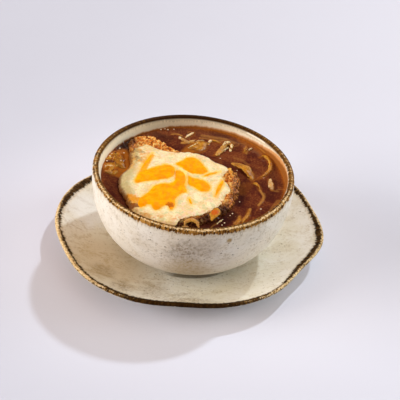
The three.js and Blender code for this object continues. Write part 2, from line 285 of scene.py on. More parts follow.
def gapToOutline(form, points):  # distance in plan mm from each point to the nearest outward steep side
    middle = points.mean(axis=0)
    sides = [p for p, v in zip(points, form.verts)
             if abs(v.normal.z) < 0.5 and v.normal.xy.dot(Vector(p - middle).xy) > 0]
    tree = KDTree(len(sides))
    for i, (x, y, _) in enumerate(sides):
        tree.insert((x, y, 0), i)
    tree.balance()
    return np.array([tree.find((x, y, 0))[2] for x, y, _ in points])


def stroke(points, path, width, soft):  # 1 along a drawn line, fading over the soft distance
    best = np.full(len(points), 1e9)
    for (ax, ay), (bx, by) in zip(path, path[1:]):
        a, d = np.array([ax, ay]), np.array([bx - ax, by - ay])
        t = np.clip(((points[:, :2] - a) @ d) / (d @ d), 0, 1)
        best = np.minimum(best, np.hypot(*(points[:, :2] - a - t[:, None] * d).T))
    return step(best, width / 2 + soft, max(width / 2 - soft * 0.3, 0))


def strokes(points, lines, soft):  # the strongest of several lines, each as (path, width, strength)
    return np.max([stroke(points, path, width, soft) * strength for path, width, strength in lines], axis=0)


def grain(points, size, seed, octaves=3):  # cloud noise about 0, for shapes
    return np.array([noise.fractal(Vector(p) / size + Vector((seed, seed * 1.7, 0)), 0.6, 2, octaves)
                     for p in points])


def grains(points, *layers):  # several cloud noises added up, each as (size, seed, strength)
    return sum(grain(points, size, seed) * strength for size, seed, strength in layers)


def treeOf(*meshes):  # a search tree over the faces of the meshes
    form = bmesh.new()
    for mesh in meshes:
        form.from_mesh(mesh)
    tree = BVHTree.FromBMesh(form)
    form.free()
    return tree


def gapTo(points, nodes):  # distance in mm from each point to the surfaces of the nodes
    tree = treeOf(*[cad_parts[node].data for node in nodes])
    return np.array([tree.find_nearest(at(*p))[3] / mm for p in points])


def heightsOn(piece, points, missing):  # height in mm of a finished piece's top above each plan place
    tree, sky = treeOf(piece.data), rimHeight + 20
    hits = [tree.ray_cast(at(p[0], p[1], sky), (0, 0, -1))[0] for p in points]
    return np.array([hit.z / mm if hit else missing for hit in hits])


def glazedStoneware(name, look):
    g = Recipe(name)
    place = g.place()
    # crest is in mm along the section from the lip's crest, inwards positive
    crest, spread, bite, dusk, ledge = g.attributes("crest", "spread", "bite", "dusk", "ledge")
    across, height = g.part(place, "X"), g.part(place, "Z")
    flat = g.vector("MULTIPLY", place, (1, 1, 0))
    girth = g.add("ShaderNodeVectorMath", {"operation": "SCALE"}, {0: g.vector("NORMALIZE", flat), 3: look["girth"]})

    def drawnOut(share):  # places around the girth, drawn out along the section
        return g.vector("ADD", girth, g.add("ShaderNodeCombineXYZ", {}, {2: crest * share}))

    # cream glaze, worn through to tan in patches, with streaks that follow the turning
    side = g.fade(across, -look["girth"], look["girth"])
    clouds = g.noise(look["cloud"], 4, 0.6, 0.6)
    patches = g.noise(look["patch"], 4, 0.65, 0.8, g.place(0.6, 1, 1.3, (3, 8, 1)))
    fine = g.noise(1.5, 4, 0.7, 0.4, g.place(0.75, 1, 1, (2, 7, 4)))
    streaks = g.noise(1, 3, 0.6, 0.3, g.place(0.15, 1, 1, (9, 2, 5)))
    worn = g.fade(patches + (fine - 0.5) * 0.7, 0.46, 0.68) * (look["wornLeft"] + side * look["wornGain"])
    cream = g.tint(
        g.mix(side, tone(*look["creamLeft"]), tone(*look["creamRight"])),
        (g.fade(clouds, 0.38, 0.68) * look["cloudShare"], look["shade"]),
        (worn * look["tanShare"], look["tan"]),
        ((worn * g.fade(fine, 0.5, 0.6) * look["mottle"]).clamped(), look["dash"]),
        (g.fade(fine, 0.54, 0.64) * look["grain"], look["dash"]),
        (g.fade(streaks, 0.57, 0.66) * g.fade(clouds, 0.42, 0.58) * look["streak"], look["dash"]))

    # iron specks, gathered in clouds, and the larger blots, which are stains and also painted shade and painted light
    crowd = g.fade(g.noise(look["crowd"], 2, 0.5, 0, g.place(shift=(40, 11, 7))), 0.4, 0.58)
    for size, radius, share, strength, lone, seed in look["specks"]:
        dots = g.specks(size, radius, share, seed) * (crowd * (1 - lone) + lone)
        cream = g.tint(cream, (dots * strength, look["speckTone"]))
    grit = g.fade(g.noise(2.2, 4, 0.65, 0.3, g.place(shift=(6, 1, 9))), 0.42, 0.62)
    for spot, radius, strength, gritty, shade in look["blotsAndPaintedLight"]:
        away = g.vector("DISTANCE", place, spot, "Value")
        share = g.fade(away + (clouds - 0.5) * radius, radius * 0.3, radius, strength, 0)
        cream = g.tint(cream, (share * (grit * gritty + (1 - gritty)), shade))

    # the rim, where the glaze breaks brown over the edge and runs in drips
    drip = drawnOut(0.35)
    ragged = g.noise(look["drip"], 3, 0.65, 0, drip) - 0.5
    slow = g.noise(16, 2, 0.5, 0, drip) - 0.5
    outer = g.fade(crest * -1 + ragged * look["ragged"] + slow * 2 - spread, -0.4, 0.4, 1, 0)
    inner = g.fade(crest + ragged * look["raggedInside"] + slow * 2 - bite, -0.4, 0.4, 1, 0)
    band = outer * inner
    halo = g.fade(crest * -1 + ragged * 3 - spread, 0, 3, 1, 0) * g.fade(crest + ragged * 3 - bite, 0, 2.5, 1, 0)
    runs = g.noise(1.2, 3, 0.6, 0, drawnOut(0.1))
    below = g.fade(crest * -1 - spread, 0, 8, 1, 0) * g.fade(crest, -1, 0, 1, 0)
    cream = g.tint(cream, (halo * 0.4, look["halo"]),
                   (g.fade(runs, 0.55, 0.68) * below * look["runs"], look["dash"]))
    flecks = g.noise(1.2, 3, 0.7)
    mottle = g.noise(1.3, 3, 0.7, 0.3, drawnOut(0.2))
    hill = 1 - (crest - ledge).size() * (1 / look["tanHalf"])
    # dusk darkens the brown rim and hides its gold line: partly the glaze's own darker break, and at the back of the
    # bowl partly painted shade
    tan = g.fade(hill + (flecks - 0.5) * 5 + slow * 1.5 - dusk * 1.8, -0.1, 0.6)
    light = (1.15 - dusk * 0.8).clamped() * g.fade(crest - ledge, 0.6, 1.5, 1, 0.35)
    brown = g.tint(
        g.mix(g.fade(mottle, 0.42, 0.56) * light, tone(*look["brown"]), tone(*look["umber"])),
        (g.fade(mottle + (flecks - 0.5) * 0.3, 0.52, 0.64) * light * 0.75, look["olive"]),
        (g.fade(dusk, 0.5, 1.3) * 0.6, look["dusky"]))
    gold = g.mix(g.fade(flecks, 0.42, 0.58), tone(*look["gold"]), tone(*look["paleGold"]))
    colour = g.mix(band, cream, g.mix(tan, brown, gold))

    if "ring" in look:  # the saucer, with painted shade where the bowl stands over it
        ring = look["ring"]
        reach = g.vector("LENGTH", flat, output="Value")
        front = g.fade((across - ring["middle"]).size(), *ring["width"], 1, 0.1)
        colour = g.tint(colour, (g.fade(reach, *ring["reach"], 1, 0) * front * ring["share"], ring["tone"]))
    else:  # the bowl, with a painted glint of light on its lip, broth dried on its wall above the soup, and painted shade low on its body
        glint, tide = g.attributes("glint", "tide")
        # the glint is a painted highlight on the inner lip
        glint = glint * g.fade((crest - look["glintLine"]).size(), 0.4, 0.9, 1, 0)
        wall = g.fade(crest, 2, 3.5)
        over = height - soupLevel + (g.noise(5, 3, 0.6, 0, drip) - 0.5) * 2.4
        colour = g.tint(
            colour,
            (g.fade(glint + (flecks - 0.5) * 1.6, 0.4, 0.7) * 0.9, look["glint"]),
            (wall * 0.7, look["wall"]),
            (g.fade(over - tide, -1, 0.6, 1, 0) * wall * 0.85, look["filmTone"]),
            (g.fade(over - tide * 0.66, -1.2, 0.8, 1, 0) * wall * 0.92, look["soakTone"]),
            (g.fade(height, *look["shadeAt"], 1, 0) * look["shadeShare"], look["shadeTone"]))
    bare = g.fade(height - clouds * 0.3, *look["bareAt"], 1, 0)
    colour = g.tint(colour, (bare, look["clay"]))

    rough = g.noise(9, 3, 0.6) * 0.12 + look["rough"] + band * look["bandRough"] + bare * 0.45
    g.set(Base_Color=colour, Roughness=rough, IOR=1.5, Specular_IOR_Level=look["gloss"])
    g.bump(g.noise(2.6, 3, 0.5) * 0.5 + flecks * band * 0.6 - grit * 0.1 + slow * 0.3, 0.18, 0.7)
    return g.material


# "around" goes in steps of 22.5 degrees from the right: the brown rim's reach outside (spread) and inside (bite),
# its darkness (dusk, partly the glaze's own and, at the back of the bowl, partly painted shade), the height of dried
# broth (tide) and the place of the gold line (ledge). Specks are (cell, radius, share, strength, share outside the
# clouds, seed), and blots (place, radius, strength, grit, tone), which are stains, painted shade and painted light.
bowlLook = {
    "girth": 70, "cloud": 17, "patch": 9, "crowd": 14, "drip": 1.7, "bandRough": 0.35,
    "creamLeft": (233, 220, 205), "creamRight": (229, 217, 204), "shade": (226, 210, 190), "cloudShare": 0.8,
    "tan": (200, 176, 142), "tanShare": 0.5, "wornLeft": 0.45, "wornGain": 0.35,
    "dash": (150, 122, 88), "mottle": 0.4, "grain": 0.16, "streak": 0.12, "runs": 0.55,
    "specks": [(2.2, 0.42, 0.4, 0.75, 0.12, 3), (3.6, 0.6, 0.4, 0.8, 0.25, 17), (7.5, 0.85, 0.3, 0.75, 0.6, 31)],
    "speckTone": (104, 76, 46),
    # the blot at (-0.6, -69, 51) on the front is partly iron mottling and partly painted shade; the one at (2, -60,
    # 30) is painted warm light thrown up from the saucer
    "blotsAndPaintedLight": [((27.4, -64.5, 59.3), 2.6, 0.9, 0.2, (158, 120, 46)), ((-0.6, -69, 51), 17, 0.8, 0.6, (136, 114, 90)),
              ((13.3, -68, 55), 12, 0.5, 0.6, (140, 112, 84)), ((2, -60, 30), 20, 0.7, 0.4, (176, 142, 84)),
              ((-30, -61, 49), 11, 0.35, 0.6, (172, 148, 120)), ((44, -54, 58), 13, 0.3, 0.5, (178, 154, 124))],
    "ragged": 6.5, "raggedInside": 7, "halo": (190, 160, 112), "tanHalf": 0.8,
    "brown": (66, 36, 6), "umber": (152, 100, 38), "olive": (198, 144, 70), "dusky": (44, 20, 0),
    "gold": (182, 134, 80), "paleGold": (234, 202, 154), "glint": (250, 238, 224), "glintLine": 3.3,
    "wall": (248, 226, 194), "filmTone": (204, 128, 48), "soakTone": (140, 76, 22), "clay": (176, 146, 116),
    # shadeAt, shadeShare and shadeTone: painted shade on the lowest part of the bowl, where it stands over the saucer
    "shadeAt": (bowlBase + 7.5, bowlBase + 10.5), "shadeShare": 0.45, "shadeTone": (132, 102, 60),
    "bareAt": (bowlBase + 0.3, bowlBase + 0.6), "rough": 0.26, "gloss": 0.11,
    "around": {
        "spread": [3, 3.6, 4, 4, 4, 4, 3.6, 3, 2.6, 3, 3.8, 4.5, 4.9, 5, 4.4, 3.6],
        "bite": [2.2, 2.6, 4.5, 4.2, 4.3, 4.2, 4, 3.8, 2.6, 2, 2, 2, 2, 2, 2, 2],
        "dusk": [0.4, 0.5, 0.7, 1.1, 1.3, 1.2, 1, 0.7, 0.35, 0.2, 0.1, 0.1, 0.1, 0.05, 0, 0.15],
        "tide": [10, 7.6, 4, 3.2, 2.4, 1.6, 1, 0.5, 0.3, 0.3, 0.4, 0.5, 0.8, 3, 8, 10],
        "ledge": [-0.8, -0.5, -0.3, -0.4, -0.5, -0.3, 0, 0, -0.6, -1, -1.4, -1.5, -1.5, -1.5, -1.3, -1],
    },
}
bowlShape = {  # sections as (radius, height over the foot)
    "foot": [(0, 1.5), (26.5, 1.5), (27, 1), (27.2, 0.3), (27.9, 0), (32.2, 0), (32.8, 0.3), (33, 1)],
    "outer": [(33, 3), (61.4, 3), (71.3, 34.3), (70, 59.5)],
    "lipOut": [(70, 59.5), (69.95, 60.8), (68.9, 61.5), (67.4, 61.5)],
    "lipIn": [(67.4, 61.5), (66.5, 61.5), (66.05, 61), (65.8, 60.3)],
    "inner": [(65.8, 60.3), (60.7, 47.5), (65.8, 9), (27, 9)],
    "steps": {"outer": 56, "lipOut": 12, "lipIn": 9, "inner": 48}, "turns": 360,
    # glint: a painted highlight along the inner lip, as (path, width, softness)
    "glint": ([(37, 54.7), (41.4, 51.5), (46.2, 47.3), (49, 44.3)], 1, 2),
}


def makeBowl():
    s = bowlShape
    runs = {key: [(r, bowlBase + z) for r, z in s[key]] for key in ("foot", *s["steps"])}
    outer, lipOut, lipIn, inner = [curve(steps, *runs[key]) for key, steps in s["steps"].items()]
    rise = joined(runs["foot"], outer, lipOut)
    form = spun(joined(rise, lipIn, inner, [(0, runs["inner"][-1][1])]), s["turns"], len(rise) - 1)
    storeAround(form, bowlLook["around"])
    store(form, glint=stroke(places(form), *s["glint"]))
    return newPiece("soup_bowl", form, glazedStoneware("bowl_glaze", bowlLook), "glaze", "bowl")


saucerLook = dict(bowlLook, **{
    "girth": 92, "cloud": 22, "crowd": 22, "drip": 1.4, "bandRough": 0.25,
    "creamLeft": (236, 227, 210), "creamRight": (242, 235, 226), "shade": (224, 212, 186), "cloudShare": 0.6,
    "tan": (194, 170, 128), "tanShare": 0.8, "wornLeft": 0.75, "wornGain": -0.4,
    "dash": (146, 116, 72), "mottle": 0.16, "grain": 0.06, "streak": 0, "runs": 0,
    "specks": [(2, 0.45, 0.4, 0.6, 0.3, 5), (3.1, 0.6, 0.34, 0.6, 0.3, 11), (5, 0.75, 0.34, 0.7, 0.5, 23)],
    "speckTone": (128, 98, 56),
    # the wide warm blots at (-52, -36) and (36, -60) are painted shade where the bowl's shadow falls, the white one
    # at (-72, 18) is painted light at the back left, and the rest are brown stains
    "blotsAndPaintedLight": [((78, -27, 11), 1.3, 0.85, 0.1, (104, 76, 38)), ((82, -26, 12), 1.2, 0.85, 0.1, (104, 76, 38)),
              ((-52, -36, 8), 44, 0.5, 0, (206, 176, 124)), ((-72, 18, 12), 32, 0.6, 0, (244, 244, 244)),
              ((36, -60, 8), 42, 0.25, 0, (186, 164, 120)), ((-56, -52, 9), 12, 0.6, 0.5, (150, 118, 66)),
              ((-20, -64, 8), 14, 0.5, 0.6, (150, 118, 66)), ((-42, -66, 9), 12, 0.6, 0.7, (140, 108, 60)),
              ((4, -78, 10), 24, 0.5, 0.85, (136, 104, 58))],
    "ragged": 4.2, "raggedInside": 6.5, "halo": (196, 168, 120), "tanHalf": 1.4,
    "brown": (38, 20, 2), "umber": (104, 68, 26), "olive": (156, 114, 58), "gold": (198, 154, 92),
    "paleGold": (234, 204, 158), "bareAt": (0.3, 0.6), "rough": 0.4, "gloss": 0.08,
    # ring: painted shade on the saucer close around the bowl's foot, strongest in the middle from left to right
    "ring": {"reach": (44.3, 45.3), "middle": 7, "width": (10, 24), "share": 0.7, "tone": (84, 64, 38)},
    "around": {
        "spread": [2.4, 2.2, 2.2, 2.2, 2.2, 2.2, 2.2, 2.4, 2.2, 2.4, 2.4, 2.8, 3.7, 3.2, 2.4, 2.4],
        "bite": [3.8, 2.8, 3, 3, 3, 3, 3.4, 4.6, 2.2, 2.8, 2.4, 3, 4.6, 3, 1.2, 4],
        "dusk": [0.2, 0.2, 0.4, 0.4, 0.4, 0.4, 0.3, 0.2, -0.1, -0.2, 0, 0.8, 1.1, 1, 0.1, 0.2],
        "ledge": [-0.8] * 2 + [-0.6] * 5 + [-0.8] * 3 + [-0.6] * 4 + [-0.8] * 2,
    },
})
saucerShape = {  # sections are drawn on a round plate of edgeRadius, and its edge is then drawn to edgeRadii
    "foot": [(0, 1.4), (42.2, 1.4), (42.9, 1.1), (43.1, 0.3), (43.7, 0), (49, 0), (49.8, 0.3), (50.6, 1.2)],
    "under": [(50.6, 1.2), (64, 5), (84, 9.5), (90, 15.3)],
    "lipOut": [(90, 15.3), (90.5, 16.6), (90, 17.5), (88.9, 17.5)],
    "lipIn": [(88.9, 17.5), (88.1, 17.5), (87.5, 17.1), (86.8, 16.7)],
    "face": [(86.8, 16.7), (79, 13.2), (66, 7), (44, 7)], "well": [(22, 7), (0, 7)],
    "steps": {"under": 44, "lipOut": 10, "lipIn": 8, "face": 52}, "turns": 384,
    "edgeRadius": 90, "footRadius": 50,
    "edgeRadii": [97.4, 97.9, 101.5, 96, 89, 87, 89.8, 95.5, 95.7, 92.3, 92.4, 89.3, 84, 86.1, 88.2, 88.2],
}


def makeSaucer():
    s = saucerShape
    under, lipOut, lipIn, face = [curve(steps, *s[key]) for key, steps in s["steps"].items()]
    rise = joined(s["foot"], under, lipOut)
    form = spun(joined(rise, lipIn, face, s["well"]), s["turns"], len(rise) - 1)
    inner, span = s["footRadius"], s["edgeRadius"] - s["footRadius"]
    for vert, (x, y, z) in zip(form.verts, places(form)):
        radius, angle = math.hypot(x, y), math.atan2(y, x) % (2 * math.pi)
        if radius > inner:
            drawn = inner + (radius - inner) / span * (aroundAxis(s["edgeRadii"], angle) - inner)
            vert.co = at(x * drawn / radius, y * drawn / radius, z)
    storeAround(form, saucerLook["around"])
    return newPiece("saucer_plate", form, glazedStoneware("saucer_glaze", saucerLook), "glaze", "saucer")


makeBowl()
makeSaucer()
print("stoneware done")


soupShape = {
    "bed": [(65.8, 67.6), (60.7, 54.8), (65.8, 16.3), (27, 16.3)], "bedSteps": 20, "bedGap": (0.3, 0.2), "bedTop": 1,
    "turns": 600, "row": 0.5, "brim": 64.4, "inner": 24, "core": [16, 8, 0], "climb": 1.1,
    "meniscus": [1, 1.1, 1.2, 1.2, 1, 0.6, 0.3, 0.3, 0.3, 0.3, 0.4, 0.5, 0.7, 0.8, 0.9, 1],  # around, as on the bowl
    "strands": 16, "seed": 12, "nearOnion": 1.9, "nearToast": 3, "waves": [(9, 3, 0.14), (2.2, 9, 0.05)],
}
sunkOnions = [  # strips under the surface as (path, width, how clearly they show)
    ([(4, 55), (12, 54), (21, 53), (27, 49)], 3, 0.3), ([(2, 51.5), (10, 51), (17, 50), (22, 52)], 1.2, 0.35),
    ([(46, 46), (50, 40)], 1.5, 0.45), ([(47, -7), (49.5, -13), (49, -18), (46, -24)], 1.2, 0.6),
    ([(1, 45.5), (5, 46.8), (8.5, 44), (9.5, 47.5)], 1.2, 0.9), ([(-10, 43), (-3, 45)], 2.4, 0.7),
    ([(28, 30), (34, 28), (38, 23)], 2, 0.15), ([(46, -41), (54, -30), (59.5, -17)], 2.6, 0.25),
    ([(-18.5, 52.9), (-15, 54), (-11.1, 52.1)], 0.8, 0.7), ([(35, 43), (37, 40), (36.5, 37)], 1.2, 0.4),
    ([(40.5, -29), (39, -36), (35, -43)], 1.3, 0.55), ([(33.4, -38), (32.8, -42), (30, -47)], 1.2, 0.4),
    ([(47.6, -20), (50, -14), (49.6, -10)], 1.6, 0.25),
]
heap = [(-59, 13), (-56, 19), (-54, 14), (-55, 9), (-59, 5)]  # lumps of onion against the wall at the left
# painted shade in the gaps between the onion lumps, as (path, width, strength)
heapGaps = [([(-61, 10.5), (-56, 9.5), (-49, 7)], 2, 0.95), ([(-51.5, 20), (-50, 13), (-49, 6)], 2, 0.5)]
amberPools = [  # where the broth is shallow over pale onion
    (heap, 9, 0.8), ([(32, 54), (42, 46), (48, 39)], 3, 0.4), ([(-6, 31), (0, 42.5)], 7, 0.55),
    ([(-52, 24), (-48, 14), (-49, 2)], 6, 0.75), ([(-59, 0), (-50, -4)], 5, 0.65), ([(34, -10), (38, -2)], 6, 0.15),
]
# painted shade on the broth beside the toast and along the wall, as (path, width, strength)
paintedShadePools = [
    ([(8, -57), (14, -53), (21, -47), (27, -38)], 9, 0.75), ([(-54, 30), (-49, 38), (-41, 44)], 6, 0.95),
    ([(-49, 24), (-46, 30)], 3.4, 0.9), ([(30, 2), (34, -10), (32, -24)], 5, 0.6), ([(-30, 50), (-20, 47)], 6, 0.5),
    ([(53, 22), (57, 6), (54, -14)], 4, 0.35), ([(-58, -2), (-57, -16), (-50, -32), (-40, -46)], 6, 0.25),
]
chop = [(-58, 25), (-53, 33), (-46, 41), (-37, 48)]  # uneven surface beside the wall, which breaks up reflections
fatDropsAndGlints = [  # small pale drops afloat, painted near white so that they also stand for glints of light on the broth, as (x, y, radius)
    (-59.1, 20.4, 0.6), (-60.1, 16.4, 0.7), (-57.7, 14.3, 0.6), (-61.5, 10.5, 0.7), (-54.3, 28.9, 0.7),
    (-50.8, 23.1, 0.75), (-52.8, 15.1, 0.5), (-51.6, 10.4, 0.6), (-54.1, 7.5, 0.5), (21.9, -49.5, 0.5),
    (23, 49.5, 0.6), (24.8, 41.1, 0.9), (21, 38, 0.45), (18, 28, 0.45), (33, -22, 0.5), (28.5, -36, 0.6),
    (27, -38.5, 0.5), (23.5, -47, 0.6), (-51, 5, 0.5), (30.4, 14.8, 0.5), (-27.1, 57.8, 0.7), (-24.2, 59, 0.6),
    (-22, 58.7, 0.8), (-17.6, 60, 0.6), (35.6, 41.7, 0.6), (47.6, -27.8, 0.6),
]
dropShape = {"sunk": 0.12, "flat": 0.45}  # as shares of the radius


def brothMaterial():
    b = Recipe("broth")
    onion, amber, dark, lumpy, gap = b.attributes("onion", "amber", "dark", "lumpy", "gap")
    clouds = b.noise(13, 4, 0.55, 0.6)
    fine = b.noise(1.2, 4, 0.7)
    wisps = b.noise(2.6, 3, 0.6, 1.6, b.place(0.45, 1, 1, (5, 2, 3)))
    bits = b.noise(2.2, 4, 0.7, 0.6)
    shreds = b.ramp(bits, (0.38, (88, 28, 2)), (0.45, (190, 96, 6)), (0.5, (234, 162, 28)), (0.55, (132, 54, 2)),
                    (0.62, (246, 196, 84)))
    colour = b.tint(
        b.clouded(clouds, (80, 30, 20), (108, 47, 25)),
        (b.fade(wisps, 0.54, 0.66) * 0.22, (150, 84, 36)),
        (b.fade(fine + clouds * 0.4, 0.68, 0.84) * 0.3, (170, 106, 52)),
        # painted shade on the broth
        (dark, (42, 14, 14)),
        ((amber * (fine * 0.9 + 0.55)).clamped(), (190, 108, 24)),
        ((onion * (fine * 0.8 + 0.6)).clamped(), (198, 136, 62)))
    colour = b.tint(
        # gap: painted shade between the onion lumps
        b.mix(lumpy, colour, shreds), (gap, (104, 40, 8)),
        (b.specks(1.7, 0.28, 0.3, 2) * b.fade(clouds, 0.4, 0.6) * 0.55, (204, 146, 78)))  # fine fat
    b.set(Base_Color=colour, Roughness=b.noise(5) * 0.08 + 0.06 + lumpy * 0.5, IOR=1.38, Specular_IOR_Level=0.3)
    b.bump(b.noise(3.2, 3, 0.5) * 0.6 + fine * 0.2 + bits * lumpy * 1.2, 0.14, 0.6)
    return b.material


def looseStrands(dice, count):  # strands deeper in the broth, as strokes
    lines = []
    for _ in range(count):
        angle, radius = dice.uniform(0, 2 * math.pi), dice.uniform(34, 60)
        turn, length, bend = dice.uniform(0, 2 * math.pi), dice.uniform(5, 13), dice.uniform(-0.12, 0.12)
        x, y, path = radius * math.cos(angle), radius * math.sin(angle), []
        for _ in range(6):
            path.append((x, y))
            x, y, turn = x + length / 5 * math.cos(turn), y + length / 5 * math.sin(turn), turn + bend * length / 2
        lines.append((path, dice.uniform(0.4, 1), dice.uniform(0.12, 0.4)))
    return lines


def makeSoup():
    s = soupShape
    aside, above = s["bedGap"]
    wall = [(r, z) for r, z in reversed(curve(s["bedSteps"], *s["bed"])) if z < soupLevel - s["bedTop"]]
    bed = [(r - aside, z + above) for r, z in wall]
    rows = np.append(np.arange(s["brim"], s["inner"], -s["row"]), s["core"])
    form = spun([(0, bed[0][1])] + bed + [(r, soupLevel) for r in rows], s["turns"], 0)
    points = places(form)
    reach = np.hypot(points[:, 0], points[:, 1])
    top = points[:, 2] > soupLevel - 0.01
    storeAround(form, {"tide": s["meniscus"]})
    climb = form.verts.layers.float["tide"]
    tide = np.array([vert[climb] for vert in form.verts])
    brim = np.exp((reach - s["brim"]) / s["climb"]) * top
    wet = np.flatnonzero(top & (reach > s["inner"] - 1))
    near, crust = np.zeros(len(points)), np.zeros(len(points))
    near[wet] = step(gapTo(points[wet], onionNodes), s["nearOnion"], 0)
    crust[wet] = step(gapTo(points[wet], ["bread", "white_cheese"]), s["nearToast"], 0)
    loose = looseStrands(random.Random(s["seed"]), s["strands"])
    sunk = np.maximum(strokes(points, sunkOnions, 0.7), strokes(points, loose, 0.6))
    lumpy = step(stroke(points, heap, 5, 3.6) + grain(points, 3, 5, 2) * 0.5, 0.35, 0.75) * top
    lumps = (np.abs(grain(points, 3.2, 2)) * 1.6 + grain(points, 1.6, 6) * 0.5 + 0.4) * lumpy
    lumps += stroke(points, chop, 9, 3) * (grain(points, 1.5, 4, 2) * 0.55 - 0.2)
    waves = grains(points, *s["waves"]) + sunk * 0.4
    lift(form, (waves * (1 - brim) + brim * tide + near * 0.25 + crust * 0.3 + lumps) * top)
    amber = np.maximum(brim * tide * 0.8 + near * 0.3, strokes(points, amberPools, 3))
    # painted shade: darker broth close to the toast and in the drawn pools
    dark = np.maximum(crust * 0.55, strokes(points, paintedShadePools, 2.5)) * (1 - lumpy)
    store(form, onion=sunk * top, amber=np.clip(amber, 0, 1) * top, dark=np.clip(dark, 0, 1), lumpy=lumpy,
          gap=strokes(points, heapGaps, 1.2) * top)
    return newPiece("onion_broth", form, brothMaterial(), "broth", "soup")


def makeFatDropsAndGlints(under):
    form, s = bmesh.new(), dropShape
    for (x, y, radius), height in zip(fatDropsAndGlints, heightsOn(under, fatDropsAndGlints, soupLevel)):
        place = Matrix.Translation(at(x, y, height - radius * s["sunk"])) @ Matrix.Diagonal((1, 1, s["flat"], 1))
        bmesh.ops.create_icosphere(form, subdivisions=3, radius=radius * mm, matrix=place)
    f = Recipe("fat_drops_and_glints")
    # near white: partly fat and partly painted glints
    f.set(Base_Color=f.mix(f.noise(0.5), tone(255, 240, 214), tone(236, 190, 132)), Roughness=f.noise(1) * 0.1 + 0.05)
    return newPiece("fat_drops_and_glints", form, f.material, "broth")


soup = makeSoup()
makeFatDropsAndGlints(soup)
print("broth done")


def onionMaterial():
    o = Recipe("cooked_onion")
    edge, wet, pale, brown = o.attributes("edge", "wet", "pale", "brown")
    fibre = o.noise(0.9, 4, 0.65, 0.6)
    colour = o.tint(
        o.clouded(o.noise(4, 3, 0.6), (150, 86, 14), (196, 130, 34)),
        # edge: the sides painted paler gold, partly the onion's own pale edge and partly painted light shining
        # through the thin sides
        (edge * o.fade(fibre, 0.3, 0.6) * 0.7, (232, 182, 92)),
        (o.fade(brown + (fibre - 0.5) * 0.8, 0.3, 0.9), (196, 92, 24)),
        (wet * (0.5 + fibre * 0.5), (104, 50, 12)),
        ((pale * (fibre * 0.8 + 0.45)).clamped(), (250, 222, 174)),
        (o.fade(fibre, 0.54, 0.7) * 0.5, (112, 60, 20)))
    o.set(Base_Color=colour, Roughness=fibre * 0.2 + 0.16, IOR=1.4, Specular_IOR_Level=0.25)
    o.soft(0.25, (1, 0.5, 0.2), 0.0012)
    o.bump(fibre * 0.8 + o.noise(0.35, 2) * 0.2, 0.22, 0.8)
    return o.material


onionSkin = {
    "voxel": 0.3, "relax": 2, "wetDepth": 1, "ripple": 0.2, "wave": 0.75, "swell": 0.15,
    # the strips that differ from the rest: how much wider, how pale, how brown, and brown only in the middle
    "wider": {"curl_back": 0.4, "leaf_right": 0.4, "petal_back": 0.3, "sliver_back": -0.3},
    "pale": {"curl_back": 0.12, "leaf_right": 0.3, "curl_front": 0.12, "edge_back": 0.3, "sliver_back": 1.2},
    "brown": {"petal_front": 1, "petal_back": 0.3, "ring_right": 0.35, "curl_left": 0.3},
    "rimmed": {"petal_front": 0.9}, "rim": (2, 3.2),
}


def makeOnion(node, material):
    s, strip = onionSkin, node[6:]
    form = skinOver(node, s["voxel"], s["relax"])
    points = places(form)
    side = 1 - upness(form)  # the outline moves in and out more than the top
    waves = (grain(points, 3.2, 7) * s["wave"] + s["swell"] + s["wider"].get(strip, 0)) * side
    swell(form, grain(points, 1.8, 5) * s["ripple"] + waves)
    up = upness(form)
    middle = np.array([v.co.xy for v in form.verts]).mean(axis=0)
    reach = np.array([(v.co.xy - Vector(middle)).length / mm for v in form.verts])
    rimmed = s["rimmed"].get(strip, 0) * step(reach, *s["rim"])
    store(form, edge=1 - up ** 2, wet=step(points[:, 2], soupLevel + s["wetDepth"], soupLevel),
          pale=up * s["pale"].get(strip, 0), brown=up ** 2 * s["brown"].get(strip, 0) * (1 - rimmed))
    return newPiece("strip_" + strip, form, material, "onion", node)


onionFlakes = [  # soft thin pieces lying on the broth as (x, y, half length, half width, turn in degrees, pale share)
    (22.3, 46.2, 2, 0.8, -8, 1), (25.6, 42.6, 2.2, 0.7, 96, 1), (21.8, 40.4, 2.2, 0.6, 52, 0.9),
    (25, 38.6, 1.1, 0.7, -45, 1), (20.2, 44, 1.8, 0.7, 70, 0.8), (18.3, 36.8, 7.8, 1.9, 63, 0.1),
    (21.6, 39.8, 4, 0.6, 60, 1), (33.1, 20, 7.2, 2.4, -17, 0.05), (39.9, 12.5, 5, 1.1, -80, 0.35),
    (1.7, 41, 9, 2.5, 38, 0), (-1.6, 40.6, 6, 0.5, 46, 0.8), (9.4, 47.6, 1.8, 0.9, 60, 1),
    (-6, 53.4, 4.2, 0.7, 59, 1), (-8.5, 45.6, 4.6, 1.2, -38, 0.2), (-12.4, 48.6, 1.5, 0.9, -60, 0.9),
    # the pale flake at (20.5, -46.4) is a painted streak of glint on the dark broth in front
    (53.9, 2.6, 5, 0.9, 86, 0.5), (39.5, 43, 2, 0.9, 60, 0.6), (20.5, -46.4, 3.4, 0.4, 53, 1),
    (-58.7, 3.8, 3, 1, 8, 0.9), (-58, -2.6, 3.4, 1.6, -15, 0.1), (2.6, 47.4, 3.4, 0.4, 20, 0.5),
    (-2.2, -55, 2.6, 1.6, -10, 0.3),
]
flakeSkin = {"perched": 2.3, "above": 0.3, "thick": 0.75, "wetDepth": 0.9, "bumps": [(2.2, 3, 0.7), (0.9, 8, 0.12)]}


